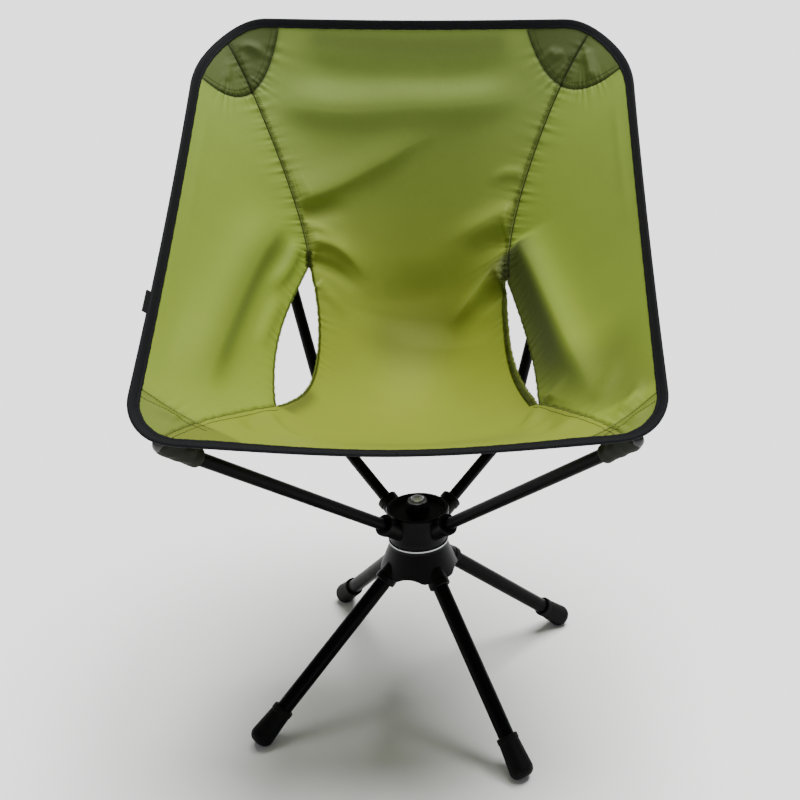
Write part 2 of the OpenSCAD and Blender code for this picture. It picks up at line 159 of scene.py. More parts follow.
# The cloth is sewn by hand and eye, so its two sides differ. For each side:
# the upper seam's start, rise, first height, run and bend; the lower seam's front end
UPPER_SEAM = {RIGHT: (0.503, 0.42, 0.63, 0.35, 1.7), LEFT: (0.432, 0.385, 0.66, 0.32, 2.1)}
LOWER_SEAM = {RIGHT: 0.90, LEFT: 0.86}
# a vent's panel edge: waist, turn at its foot, turn at its head; its wing edge: fall, bend, bulge, its place
VENT_PANEL = {RIGHT: (0.441, 9.0, 4.5), LEFT: (0.432, 3.0, 4.0)}
VENT_WING = {RIGHT: (3.0, 0.055, 0.8), LEFT: (1.8, 0.013, 0.6)}
VENT_FOOT = 0.535
# a back patch's seam: where it starts, its lowest height, rise and bend; a front patch's seam: slope, start
BACK_PATCH = {RIGHT: (0.645, 0.843, 0.147, 2.7), LEFT: (0.525, 0.877, 0.115, 2.4)}
FRONT_PATCH = {RIGHT: (0.23, 0.538), LEFT: (0.293, 0.676)}


def vent_t(v):
    return np.clip((v - VENT_LOW) / (VENT_HIGH - VENT_LOW), 0, 1)


def joined_seam(v, side):
    front = LOWER_SEAM[side]
    low = front - (front - VENT_FOOT) * v / VENT_LOW
    start, rise, first, run, bend = UPPER_SEAM[side]
    return low, start + rise * np.clip((v - first) / run, 0, 2) ** bend


def opened(v, side, vent):
    """The joined seam, with a vent's own edge between its foot and its head."""
    low, high = joined_seam(v, side)
    return np.where(v <= VENT_LOW, low, np.where(v >= VENT_HIGH, high, vent))


def panel_edge(v, side):
    t = vent_t(v)
    waist, foot, head = VENT_PANEL[side]
    vent = waist + (VENT_FOOT - waist) * (1 - t) ** foot + (UPPER_SEAM[side][0] - waist) * t**head
    return opened(v, side, vent)


def wing_edge(v, side):
    t = vent_t(v)
    bend, bulge, where = VENT_WING[side]
    vent = VENT_FOOT - (VENT_FOOT - UPPER_SEAM[side][0]) * t**bend + bulge * np.sin(math.pi * t**where)
    return opened(v, side, vent)


def back_patch_v(u, side):
    start, low, rise, bend = BACK_PATCH[side]
    return low + rise * np.clip(1 - (u - start) / (1 - start), 0, 1) ** bend


def front_patch_v(u, side):
    slope, start = FRONT_PATCH[side]
    return slope * (u - start)


def smoothstep(a, b, x):
    t = np.clip((x - a) / (b - a), 0, 1)
    return t * t * (3 - 2 * t)


# folds ------------------------------------
# Each fold is a crest through (u, v) points, its height, how far it reaches on its left and on its
# right as it runs, in millimetres, the share of its run over which it rises and falls, and how sharp
# its crest is: 2 is round, 1 is a crease.

Fold = namedtuple("Fold", "crest height left right rise fall sharp", defaults=(2,))
MM = 0.001
BLUNT = 0.1     # a crest is rounded over this share of its reach
FOLD_STEPS = 24
FOLDS = [
    # across the upper back
    Fold([(-0.72, 0.895), (-0.45, 0.922), (-0.08, 0.944), (0.22, 0.942), (0.56, 0.932)],
         8.5, 24, 17, 0.25, 0.25),
    Fold([(-0.60, 0.957), (-0.08, 0.969), (0.52, 0.962)], -5.0, 17, 19, 0.2, 0.2),
    # the long one that climbs from the right seam to the left shoulder
    Fold([(-0.58, 0.752), (-0.44, 0.815), (-0.30, 0.862), (-0.16, 0.893), (0.01, 0.918), (0.24, 0.926)],
         7.5, 26, 10, 0.10, 0.45, 1.6),
    Fold([(-0.56, 0.735), (-0.42, 0.79), (-0.30, 0.82)], -5.0, 9, 12, 0.15, 0.7),
    Fold([(-0.545, 0.715), (-0.47, 0.735), (-0.40, 0.74)], 3.0, 6, 6, 0.2, 0.6),
    # from the top of each vent into the seat
    Fold([(-0.52, 0.685), (-0.42, 0.715), (-0.33, 0.716), (-0.22, 0.695)], 8.0, 14, 8, 0.14, 0.5, 1.5),
    Fold([(-0.505, 0.65), (-0.38, 0.672), (-0.26, 0.655)], -4.5, 7, 10, 0.15, 0.6),
    Fold([(-0.47, 0.60), (-0.40, 0.585), (-0.33, 0.56)], 2.4, 8, 8, 0.05, 0.6),
    Fold([(0.462, 0.762), (0.40, 0.778), (0.30, 0.785), (0.20, 0.785), (0.06, 0.775)],
         8.5, 22, 14, 0.16, 0.6, 1.8),
    Fold([(0.445, 0.725), (0.34, 0.742), (0.20, 0.745)], -4.5, 10, 14, 0.16, 0.7),
    Fold([(0.435, 0.672), (0.33, 0.655), (0.22, 0.625), (0.12, 0.59)], 8.5, 18, 9, 0.16, 0.5, 1.6),
    Fold([(0.43, 0.60), (0.33, 0.60), (0.20, 0.565)], -4.5, 9, 13, 0.12, 0.7),
    Fold([(0.515, 0.825), (0.42, 0.845), (0.32, 0.85)], 2.6, 8, 7, 0.2, 0.6),
    # the broad hollow of the hips
    Fold([(0.0, 0.78), (0.03, 0.66), (0.0, 0.54)], -6.0, 60, 60, 0.4, 0.4),
    # down the wings
    Fold([(-0.60, 0.73), (-0.70, 0.56), (-0.755, 0.40), (-0.79, 0.22), (-0.785, 0.10)],
         9.0, 14, 30, 0.25, 0.3),
    Fold([(-0.545, 0.68), (-0.60, 0.56), (-0.66, 0.46)], 4.5, 8, 8, 0.2, 0.5),
    Fold([(-0.60, 0.50), (-0.635, 0.38), (-0.65, 0.28)], 2.6, 7, 8, 0.3, 0.4),
    Fold([(0.490, 0.712), (0.512, 0.67), (0.567, 0.585), (0.633, 0.44), (0.693, 0.28), (0.728, 0.16),
          (0.738, 0.09)], 15.0, 17, 34, 0.22, 0.35, 1.3),
    Fold([(-0.94, 0.80), (-0.95, 0.6), (-0.95, 0.4)], 2.6, 7, 9, 0.3, 0.4),
    Fold([(0.93, 0.83), (0.94, 0.65), (0.95, 0.45)], 2.6, 9, 7, 0.3, 0.4),
    # about the feet of the vents and the front corners
    Fold([(0.555, 0.135), (0.60, 0.145), (0.69, 0.185)], 3.5, 7, 7, 0.2, 0.5),
    Fold([(0.55, 0.135), (0.50, 0.085), (0.42, 0.055)], 4.0, 8, 7, 0.35, 0.6),
    Fold([(0.61, 0.09), (0.54, 0.05), (0.46, 0.03)], -3.4, 8, 7, 0.4, 0.6),
    Fold([(0.67, 0.08), (0.62, 0.04), (0.56, 0.02)], 2.6, 7, 7, 0.4, 0.6),
    Fold([(-0.56, 0.13), (-0.52, 0.085), (-0.42, 0.05), (-0.26, 0.035)], 3.6, 7, 8, 0.25, 0.6),
    Fold([(-0.62, 0.10), (-0.57, 0.06), (-0.50, 0.03)], -2.6, 7, 7, 0.4, 0.6),
    Fold([(-0.80, 0.048), (-0.90, 0.07), (-0.97, 0.09)], 3.2, 7, 7, 0.2, 0.3),
    Fold([(0.80, 0.045), (0.88, 0.08), (0.95, 0.125)], 4.6, 7, 7, 0.35, 0.3, 1.8),
    Fold([(0.84, 0.030), (0.91, 0.05), (0.96, 0.085)], 4.0, 6, 6, 0.35, 0.3, 1.8),
    Fold([(0.72, 0.09), (0.80, 0.13), (0.86, 0.19)], 3.0, 9, 9, 0.4, 0.5),
    # across the back patches
    Fold([(-0.84, 0.950), (-0.78, 0.962), (-0.70, 0.958)], 4.5, 6, 6, 0.3, 0.3, 1.6),
    Fold([(-0.80, 0.90), (-0.81, 0.93), (-0.82, 0.955)], 2.2, 5, 5, 0.3, 0.3),
    Fold([(0.795, 0.960), (0.815, 0.925), (0.83, 0.892)], 5.0, 6, 6, 0.2, 0.3, 1.4),
    Fold([(0.62, 0.975), (0.66, 0.962), (0.70, 0.965)], 3.2, 6, 6, 0.3, 0.3, 1.6),
    Fold([(-0.88, 0.93), (-0.87, 0.90), (-0.87, 0.875)], 2.2, 5, 5, 0.3, 0.3),
]


def fold_line(fold):
    """Points on a smooth curve through a fold's crest, with the seat's normals there."""
    p = np.array(fold.crest, float)
    p = np.vstack([2 * p[0] - p[1], p, 2 * p[-1] - p[-2]])
    t = np.linspace(0, len(fold.crest) - 1 - 1e-6, FOLD_STEPS)
    k, f = t.astype(int), (t % 1)[:, None]
    a, b, c, d = p[k], p[k + 1], p[k + 2], p[k + 3]
    u, v = (b + ((c - a) * f + (2 * a - 5 * b + 4 * c - d) * f**2 + (3 * b - a - 3 * c + d) * f**3) / 2).T
    return smooth_cloth(u, v), cloth_normal(u, v)


# Painted shade: deep hollows where the cloth's colour is darkened to stand in for their shade, each laid out
# as a fold with a share of darkening for a height.
PAINTED_SHADE_FOLDS = [
    Fold([(0.475, 0.70), (0.500, 0.64), (0.550, 0.53), (0.606, 0.365), (0.645, 0.22), (0.690, 0.11),
          (0.72, 0.05)], 0.76, 19, 38, 0.08, 0.42, 2.6),
    Fold([(-0.32, 0.575), (0.0, 0.60), (0.30, 0.585)], 0.30, 26, 44, 0.3, 0.3),
    Fold([(0.80, 0.30), (0.835, 0.17), (0.88, 0.08)], 0.36, 36, 36, 0.4, 0.1),
    Fold([(-0.45, 0.03), (0.1, 0.03), (0.62, 0.03)], 0.14, 34, 34, 0.35, 0.2),
    Fold([(-0.586, 0.662), (-0.66, 0.57), (-0.725, 0.452), (-0.762, 0.224), (-0.755, 0.119)],
         0.24, 19, 19, 0.15, 0.3),
    Fold([(-0.56, 0.986), (0.0, 0.986), (0.47, 0.984)], 0.30, 13, 13, 0.1, 0.1),
    Fold([(-0.50, 0.13), (-0.45, 0.19), (-0.437, 0.26)], 0.45, 7, 9, 0.1, 0.4),
    Fold([(0.0, 0.78), (0.03, 0.70), (0.0, 0.62)], 0.10, 60, 60, 0.4, 0.4),
]
FOLD_LINES, PAINTED_SHADE_LINES = [fold_line(f) for f in FOLDS], [fold_line(d) for d in PAINTED_SHADE_FOLDS]


def nearest(points, line, up):
    """For each point: how far it is from a line, at what share of the line's run, and on which side."""
    best = np.full(len(points), np.inf)
    along, side = np.zeros(len(points)), np.zeros(len(points))
    last = len(line) - 1
    for k in range(last):
        way = line[k + 1] - line[k]
        share = np.clip((points - line[k]) @ way / (way @ way), 0, 1)
        off = points - line[k] - share[:, None] * way
        gap = np.linalg.norm(off, axis=1)
        closer = gap < best
        best[closer] = gap[closer]
        along[closer] = (k + share[closer]) / last
        side[closer] = np.sign(off @ np.cross(up[k], way))[closer]
    return best, along, side


def close_to(points, line, room):
    return np.all((points > line.min(0) - room) & (points < line.max(0) + room), axis=1)


def fold_height(points, fold, line, up):
    """A fold's height at each point, in the unit that the fold gives it in."""
    out = np.zeros(len(points))
    near = close_to(points, line, 3 * max(fold.left, fold.right) * MM)
    if near.any():
        gap, along, side = nearest(points[near], line, up)
        reach = np.where(side > 0, fold.left, fold.right) * MM
        ends = smoothstep(0, fold.rise, along) * (1 - smoothstep(1 - fold.fall, 1, along))
        blunt = np.hypot(gap / reach, BLUNT) - BLUNT
        out[near] = fold.height * ends * np.exp(-(blunt**fold.sharp))
    return out


SEAM_STEPS = 40


def sewn_lines(side, high, low, back, front):
    """One side's felled and front seams at each v, and its patches' seams at each u, as (u, v)."""
    return (
        (side * joined_seam(high, side)[1], high),
        (side * joined_seam(low, side)[0], low),
        (side * back, back_patch_v(back, side)),
        (side * front, front_patch_v(front, side)),
    )


def seam_lines():
    """Every sewn line on the seat as (u, v, kind), with u signed."""
    lines = []
    for side in (LEFT, RIGHT):
        ends = ((VENT_HIGH, 0.975), (0.012, VENT_LOW), (BACK_PATCH[side][0], 0.985), (0.68, 0.985))
        runs = [np.linspace(*pair, SEAM_STEPS) for pair in ends]
        felled, low, back, front = sewn_lines(side, *runs)
        v = np.linspace(VENT_LOW, VENT_HIGH, SEAM_STEPS)
        lines += [(*felled, "felled"), (*low, "front")]
        lines += [(side * edge(v, side), v, "vent") for edge in (panel_edge, wing_edge)]
        lines += [(*back, "patch"), (*front, "front")]
    return lines


SEAMS = seam_lines()
FRONT_RATE, FRONT_RATE_FALL = 1.80, 1.20    # metres of cloth per unit of v at the front hem
# for each kind of sewn line: groove depth and width, pucker height, length and reach, comb height
SEAM_RELIEF = {
    "felled": (0.0014, 0.0012, 0.00080, 0.0135, 0.011, 0.00050),
    "front": (0.0010, 0.0018, 0.00060, 0.0130, 0.010, 0.00018),
    "vent": (0.0, 0.001, 0.00060, 0.0150, 0.011, 0.00018),
    "patch": (0.0018, 0.0026, 0.00080, 0.0105, 0.012, 0.00060),
}
# for each kind of sewn line, painted shade: how much darker the cloth's colour is made in the groove and over
# what width, and then beside it
SEAM_PAINTED_SHADE = {
    "felled": ((0.45, 0.0011), (0.14, 0.0060)),
    "front": ((0.22, 0.0012), (0.06, 0.0050)),
    "vent": ((0.08, 0.0015), (0.10, 0.0080)),
    "patch": ((0.40, 0.0020), (0.10, 0.0060)),
}
SHADE_MOST = 0.85
COMB_PITCH, COMB_REACH = 0.0062, 0.0055
SEAM_BARE = 0.0025              # no pucker this near to a sewn line
SEAM_ROOM = 0.04                # a seam shows in the cloth no farther off than this
HEM_RATES = (0.25, 1.5, 0.9)    # metres of cloth per unit of u at the sides, of v at the front and at the top
HEM_FLAT = (0.010, 0.032)       # metres from the rim between which the folds begin: the binding lies flat
TAUT_LEAST, TAUT_REACH = 0.12, 0.010    # a seam holds the folds that run into it down


def seam_relief(run, gap, k, kind):
    """Groove, puckers and fine comb beside a sewn line. k tells its unevenness from another line's."""
    depth, width, pucker, length, reach, comb = SEAM_RELIEF[kind]
    turns = 2 * math.pi * run / length
    wave = np.sin(turns + 1.7 * k + 1.1 * np.sin(0.37 * turns + k))
    wave = wave * (0.75 + 0.25 * np.sin(0.21 * turns + 2 * k))
    teeth = np.sin(2 * math.pi * run / COMB_PITCH + 0.8 * np.sin(0.29 * turns))
    rise = pucker * wave * np.exp(-gap / reach) + comb * teeth * np.exp(-gap / COMB_REACH)
    if kind != "vent":
        rise = rise * smoothstep(0, SEAM_BARE, gap)
    return rise - depth * np.exp(-((gap / width) ** 2))


def survey(u, v):
    """How far the cloth stands off the smooth seat surface, and the painted shade that its seams and hollows
    get in its colour.
    """
    points = smooth_cloth(u, v).reshape(-1, 3)
    h, folds, shade = np.zeros((3, len(points)))
    taut = np.ones(len(points))
    for fold, line in zip(FOLDS, FOLD_LINES):
        folds += fold_height(points, fold, *line) * MM
    # painted shade of the deep hollows, added into the colour
    for shade_fold, line in zip(PAINTED_SHADE_FOLDS, PAINTED_SHADE_LINES):
        shade += fold_height(points, shade_fold, *line)
    for k, (su, sv, kind) in enumerate(SEAMS):
        line = smooth_cloth(su, sv)
        near = close_to(points, line, SEAM_ROOM)
        if not near.any():
            continue
        gap, along, _ = nearest(points[near], line, cloth_normal(su, sv))
        h[near] += seam_relief(along * run_along(line)[-1], gap, k, kind)
        # painted shade in and beside the seam's groove
        for dark, width in SEAM_PAINTED_SHADE[kind]:
            shade[near] += dark * np.exp(-((gap / width) ** 2))
        if kind != "vent":
            held = TAUT_LEAST + (1 - TAUT_LEAST) * smoothstep(0, TAUT_REACH, gap)
            taut[near] = np.minimum(taut[near], held)
    a = np.abs(u)
    gaps = (edge_u(v) - a, v - edge_v_front(a), edge_v_top(a) - v)
    hem = np.min([rate * gap for rate, gap in zip(HEM_RATES, gaps)], axis=0)
    h = (h + folds * taut).reshape(u.shape) * smoothstep(*HEM_FLAT, hem)
    h = h + hem_roll(u, v * (FRONT_RATE - FRONT_RATE_FALL * spread(u)))
    return h, np.minimum(shade, SHADE_MOST).reshape(u.shape)


ROLL, ROLL_RISE, ROLL_END = 0.0045, 0.009, (0.02, 0.10)    # metres: how far the hem's curl goes up and in
ROLL_SIDES = (0.62, 0.86)       # half widths between which the curl fades


def hem_roll(u, depth):
    """Rise of the cloth a depth in metres inside the front hem, which curls down at its edge."""
    fade = 1 - smoothstep(*ROLL_SIDES, np.abs(u))
    return ROLL * (1 - np.exp(-depth / ROLL_RISE)) * (1 - smoothstep(*ROLL_END, depth)) * fade


def place(u, v, off):
    """Points on the cloth, off metres above its middle."""
    return smooth_cloth(u, v) + cloth_normal(u, v) * (survey(u, v)[0] + off)[..., None]


# meshes -----------------------------------

SHARP = math.radians(50)
HALF_WIDTH, RUN = 0.245, 0.8    # metres of weave for the whole of u and of v
SOFT, FRONT_SHARE = 0.002, 0.45     # a patch's edge through the cloth, and how much the front ones show


def mesh_object(name, points, faces, material, weave=None, smooth=True, **attributes):
    mesh = bpy.data.meshes.new(name)
    mesh.from_pydata(np.asarray(points).tolist(), [], [tuple(f) for f in faces])
    mesh.validate()
    if smooth:
        mesh.shade_smooth()
        mesh.set_sharp_from_angle(angle=SHARP)
    if weave is not None:
        layer = mesh.attributes.new("weave", "FLOAT_VECTOR", "POINT")
        layer.data.foreach_set("vector", np.asarray(weave, np.float32).ravel())
    for key, values in attributes.items():
        layer = mesh.attributes.new(key, "FLOAT", "POINT")
        layer.data.foreach_set("value", np.asarray(values, np.float32).ravel())
    mesh.materials.append(material)
    return add_object(name, mesh)


def grid_faces(rows, cols, first=0, flip=False, wrap_rows=False, wrap_cols=False):
    i, j = np.meshgrid(np.arange(rows - (not wrap_rows)), np.arange(cols - (not wrap_cols)), indexing="ij")
    i, j = i.ravel(), j.ravel()
    i2, j2 = (i + 1) % rows, (j + 1) % cols
    quads = np.stack([i * cols + j, i * cols + j2, i2 * cols + j2, i2 * cols + j], 1) + first
    return quads[:, ::-1] if flip else quads


def sheet_faces(rows, cols):
    """Both faces of a sheet and the walls between them: top points first, bottom points after them."""
    loop = list(range(cols))
    loop += [i * cols + cols - 1 for i in range(1, rows)]
    loop += [(rows - 1) * cols + j for j in range(cols - 2, -1, -1)]
    loop += [i * cols for i in range(rows - 2, 0, -1)]
    a, b, n = np.array(loop), np.roll(loop, -1), rows * cols
    walls = np.stack([b, a, a + n, b + n], 1)
    return np.vstack([grid_faces(rows, cols), grid_faces(rows, cols, n, flip=True), walls])


def capped(rows, cols, first=0, flip=False):
    """Faces of a skin round rows of points, with a cap at each end."""
    start, end = range(first, first + cols), range(first + (rows - 1) * cols, first + rows * cols)
    caps = [tuple(start), tuple(end)[::-1]] if flip else [tuple(start)[::-1], tuple(end)]
    return [tuple(f) for f in grid_faces(rows, cols, first, flip, wrap_cols=True)] + caps


def merged(parts):
    """Points and faces of one mesh from those of several."""
    points, faces, first = [], [], 0
    for p, f in parts:
        points.append(p)
        faces += [tuple(q + first for q in face) for face in f]
        first += len(p)
    return np.vstack(points), faces


def weave_at(x, y):
    """Cloth coordinates in metres, one for each point."""
    return np.stack(np.broadcast_arrays(x, y, 0.0), -1).reshape(-1, 3)


def metric(u, v):
    return weave_at(u * HALF_WIDTH, v * RUN)


def doubled(u, v):
    """How much of a patch shows through the cloth, up to 1."""
    a = np.abs(u)
    both = []
    for side in (RIGHT, LEFT):
        back = smoothstep(-SOFT, SOFT, v - back_patch_v(a, side)) * (a > BACK_PATCH[side][0])
        front = smoothstep(-SOFT, SOFT, front_patch_v(a, side) - v)
        both.append(np.maximum(back, FRONT_SHARE * front))
    return np.where(u < 0, both[0], both[1])


def cloth_sheet(name, u, v, material):
    u, v = np.broadcast_arrays(u, v)
    base, up = smooth_cloth(u, v), cloth_normal(u, v)
    h, shade = survey(u, v)
    layers = [base + up * (h + off)[..., None] for off in (CLOTH_T / 2, -CLOTH_T / 2)]
    points = np.vstack([layer.reshape(-1, 3) for layer in layers])
    faces = sheet_faces(*u.shape)
    if u[0, -1] < u[0, 0]:
        faces = faces[:, ::-1]
    marks = {
        "weave": np.tile(metric(u, v), (2, 1)),
        "lined": np.concatenate([doubled(u, v).ravel(), np.zeros(u.size)]),
        # painted shade of the seams' grooves and the deep hollows
        "painted_shade": np.tile(shade.ravel(), 2),
    }
    return mesh_object(name, points, faces, material, **marks)


def circle(n):
    return np.linspace(0, 2 * math.pi, n, endpoint=False)


TUBE_LEAN = np.array((0.31, 0.52, 0.79))    # no thread runs this way


def tube(path, radius, sides):
    """Points and faces of a thin tube along a path."""
    way = unit(np.gradient(path, axis=0))
    a = unit(np.cross(way, TUBE_LEAN))
    b = np.cross(way, a)
    turn = circle(sides)[None, :, None]
    ring = np.cos(turn) * a[:, None] + np.sin(turn) * b[:, None]
    return (path[:, None] + ring * radius).reshape(-1, 3), capped(len(path), sides)


def resample(rows, run, pitch):
    """Rows of three numbers that belong to a line, drawn again a pitch apart along its run."""
    at = np.arange(pitch / 2, run[-1], pitch)
    return np.stack([np.interp(at, run, rows[:, k]) for k in range(3)], 1)


STITCH_SIDES = 6
# a stitch's rings: their place in its length, their radius in its own, and how far they are lifted
STITCH_RINGS = ((-0.5, 0.45, -0.5), (-0.36, 0.95, 0.25), (0.36, 0.95, 0.25), (0.5, 0.45, -0.5))


def stitch_mesh(lines, pitch=0.003, length=0.0024, radius=0.00035):
    """Rows of stitches. A line is its points and the cloth's normals at them."""
    form = np.array([
        (x * length, r * radius * math.cos(a), (lift + r * math.sin(a)) * radius)
        for x, r, lift in STITCH_RINGS for a in circle(STITCH_SIDES)
    ])
    pattern = capped(len(STITCH_RINGS), STITCH_SIDES, flip=True)
    parts = []
    for line, up in lines:
        run = run_along(line)
        centres = resample(line, run, pitch)
        normal = unit(resample(up, np.linspace(0, run[-1], len(up)), pitch))
        way = unit(np.gradient(centres, axis=0))
        across = unit(np.cross(normal, way))
        normal = np.cross(way, across)
        axes = np.stack([way, across, normal], 1)
        parts += [(made, pattern) for made in centres[:, None] + np.einsum("pk,nkc->npc", form, axes)]
    return merged(parts)


def on_seat(piece, replaced=None):
    """Lets a piece ride on the seat, in place of a CAD node where one is named."""
    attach(piece, "seat")
    if replaced:
        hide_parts(replaced)
    return piece


# materials --------------------------------


class Nodes:
    """A short way to build a material's node tree."""

    def __init__(self, name, base, roughness, **sockets):
        self.material = bpy.data.materials.new(name)
        self.material.use_nodes = True
        self.tree = self.material.node_tree
        self.shader = self.tree.nodes["Principled BSDF"]
        self.shader.inputs["Base Color"].default_value = (*base, 1)
        self.shader.inputs["Roughness"].default_value = roughness
        self.base = base
        for key, value in sockets.items():
            self.shader.inputs[key.replace("_", " ").title().replace("Ior", "IOR")].default_value = value

    def add(self, kind, inputs=(), **settings):
        made = self.tree.nodes.new("ShaderNode" + kind)
        for key, value in settings.items():
            setattr(made, key, value)
        for key, value in dict(inputs).items():
            if isinstance(value, bpy.types.NodeSocket):
                self.link(value, made.inputs[key])
            else:
                made.inputs[key].default_value = value
        return made

    def link(self, source, target):
        self.tree.links.new(source, target)

    def attribute(self, name, output):
        return self.add("Attribute", attribute_name=name).outputs[output]

    def where(self):
        return self.add("TexCoord").outputs["Object"]

    def math(self, operation, a, b=0.0):
        return self.add("Math", {0: a, 1: b}, operation=operation).outputs[0]

    def noise(self, vector, scale, detail):
        inputs = {"Vector": vector, "Scale": scale, "Detail": detail, "Roughness": 0.55}
        return self.add("TexNoise", inputs).outputs["Fac"]

    def stretch(self, vector, scale):
        return self.add("Mapping", {"Vector": vector, "Scale": scale}).outputs[0]

    def between(self, value, low, high):
        return self.add("MapRange", {"Value": value, "To Min": low, "To Max": high}).outputs[0]

    def tint(self, factors, base=None):
        """The base colour, or another, times the product of some factors."""
        factor = factors[0]
        for f in factors[1:]:
            factor = self.math("MULTIPLY", factor, f)
        mixed = self.add("VectorMath", {0: base or self.colour(self.base)}, operation="SCALE")
        self.link(factor, mixed.inputs["Scale"])
        self.link(mixed.outputs[0], self.shader.inputs["Base Color"])

    def colour(self, rgb):
        made = self.add("RGB")
        made.outputs[0].default_value = (*rgb, 1)
        return made.outputs[0]

    def bump(self, height, strength, distance):
        made = self.add("Bump", {"Height": height, "Strength": strength, "Distance": distance})
        self.link(made.outputs[0], self.shader.inputs["Normal"])


# Painted light: the cloth's green shifts with height from the pan's to the back's, standing in for how the
# light tints the seat and the back differently
PAINTED_LIGHT_Z = (0.40, 0.66)     # heights between which the cloth's green shifts from the pan's to the back's


def woven(name, base, pitch=0.0009, sheen=0.03, lined=0.0, contrast=0.05, painted_light=None):
    """Coated woven cloth on the cloth coordinates in the weave attribute, its green shifting with height to a
    second green as painted light.
    """
    m = Nodes(name, base, 0.70, sheen_weight=sheen, sheen_roughness=0.45, specular_ior_level=0.22)
    weave = m.attribute("weave", "Vector")
    parts = m.add("SeparateXYZ", {0: weave})
    turns = math.pi / pitch
    warp = m.math("SINE", m.math("MULTIPLY", parts.outputs["X"], turns))
    weft = m.math("SINE", m.math("MULTIPLY", parts.outputs["Y"], turns))
    knots = m.math("MULTIPLY", warp, weft)
    slub_x = m.noise(m.stretch(weave, (180, 1500, 1)), 1.0, 2.0)
    slub_y = m.noise(m.stretch(weave, (1500, 180, 1)), 1.0, 2.0)
    slub = m.math("MULTIPLY", m.math("ADD", slub_x, slub_y), 0.5)
    patchy = m.noise(weave, 14.0, 3.0)
    factors = [
        m.between(slub, 1 - 3 * contrast, 1 + 3 * contrast),
        m.between(patchy, 0.94, 1.06),
        m.between(knots, 1 - contrast, 1.0),
    ]
    if lined:
        factors.append(m.between(m.attribute("lined", "Fac"), 1.0, 1 - lined))
        # painted shade: the seams' grooves and the deep hollows darkened in the colour
        factors.append(m.between(m.attribute("painted_shade", "Fac"), 1.0, 0.0))
    blend = None
    # painted light: the base green blends towards the second green with height
    if painted_light:
        height = m.add("SeparateXYZ", {0: m.where()}).outputs["Z"]
        ends = {"From Min": PAINTED_LIGHT_Z[0], "From Max": PAINTED_LIGHT_Z[1]}
        share = m.add("MapRange", {"Value": height, **ends}).outputs[0]
        blend = m.add("Mix", {0: share, 6: m.colour(base), 7: m.colour(painted_light)}, data_type="RGBA").outputs[2]
    m.tint(factors, blend)
    height = m.math("ADD", m.math("MULTIPLY", knots, 0.5), m.math("MULTIPLY", slub, 1.5))
    m.bump(height, 0.35, 0.0002)
    return m.material


def ribbed(name, base, pitch=0.0014):
    """Woven tape: ribs across its length, on the tape coordinates in the weave attribute."""
    m = Nodes(name, base, 0.68, sheen_weight=0.03, sheen_roughness=0.4, specular_ior_level=0.12)
    weave = m.attribute("weave", "Vector")
    parts = m.add("SeparateXYZ", {0: weave})
    ribs = m.math("SINE", m.math("MULTIPLY", parts.outputs["Y"], 2 * math.pi / pitch))
    yarn = m.math("SINE", m.math("MULTIPLY", parts.outputs["X"], 2 * math.pi / 0.0008))
    fuzz = m.noise(weave, 900.0, 2.0)
    m.tint([m.between(ribs, 0.75, 1.15), m.between(fuzz, 0.7, 1.3)])
    m.bump(m.math("ADD", ribs, m.math("MULTIPLY", yarn, 0.3)), 0.5, 0.0002)
    return m.material


def moulded(name, base, roughness, grain=900.0, wear=0.25, **sockets):
    """Moulded plastic or rubber with a fine spark-eroded grain and a little handling wear."""
    m = Nodes(name, base, roughness, **sockets)
    where = m.where()
    fine, broad = m.noise(where, grain, 2.0), m.noise(where, 35.0, 4.0)
    m.tint([m.between(fine, 0.85, 1.15), m.between(broad, 1 - wear, 1 + wear)])
    worn = m.math("ADD", m.math("MULTIPLY", broad, 0.8), m.math("MULTIPLY", fine, 0.2))
    m.link(m.between(worn, roughness - 0.1, roughness + 0.1), m.shader.inputs["Roughness"])
    m.bump(fine, 0.4, 0.00008)
    return m.material


def spun(name, base, shine=0.15):
    """Sewing thread."""
    return moulded(name, base, 0.7, grain=3000.0, specular_ior_level=shine)


def metal(name, base, roughness, metallic=1.0, **sockets):
    """Metal with faint drawing lines and smudges."""
    m = Nodes(name, base, roughness, metallic=metallic, **sockets)
    where = m.where()
    smudge, fine = m.noise(where, 45.0, 4.0), m.noise(where, 1400.0, 2.0)
    m.tint([m.between(smudge, 0.88, 1.12), m.between(fine, 0.92, 1.08)])
    m.link(m.between(smudge, roughness - 0.08, roughness + 0.1), m.shader.inputs["Roughness"])
    m.bump(fine, 0.15, 0.00003)
    return m.material


# each second green is painted light: the hue the cloth is given higher up on the back
GREEN, GREEN_PAINTED_LIGHT = (0.177, 0.216, 0.012), (0.168, 0.236, 0.040)
WING_GREEN, WING_PAINTED_LIGHT = (0.176, 0.236, 0.016), (0.184, 0.262, 0.034)
seat_cloth = woven("seat_cloth", GREEN, lined=0.69, painted_light=GREEN_PAINTED_LIGHT)
wing_cloth = woven("wing_cloth", WING_GREEN, lined=0.66, painted_light=WING_PAINTED_LIGHT)
patch_cloth = woven("patch_cloth", (0.078, 0.122, 0.017), pitch=0.0008)
pocket_cloth = woven("pocket_cloth", (0.0055, 0.0070, 0.0020), pitch=0.0008, sheen=0.0, contrast=0.08)
binding_tape = ribbed("binding_tape", (0.0035, 0.0040, 0.0052))
webbing = ribbed("webbing", (0.0035, 0.0035, 0.0042), pitch=0.0018)
green_thread = spun("green_thread", (0.050, 0.064, 0.010))
overlock_thread = spun("overlock_thread", (0.085, 0.110, 0.016))
dark_thread = spun("dark_thread", (0.010, 0.013, 0.004), shine=0.12)
black_thread = spun("black_thread", (0.004, 0.004, 0.005))
hub_nylon = moulded("hub_nylon", (0.0016, 0.0016, 0.0018), 0.42, specular_ior_level=0.08)
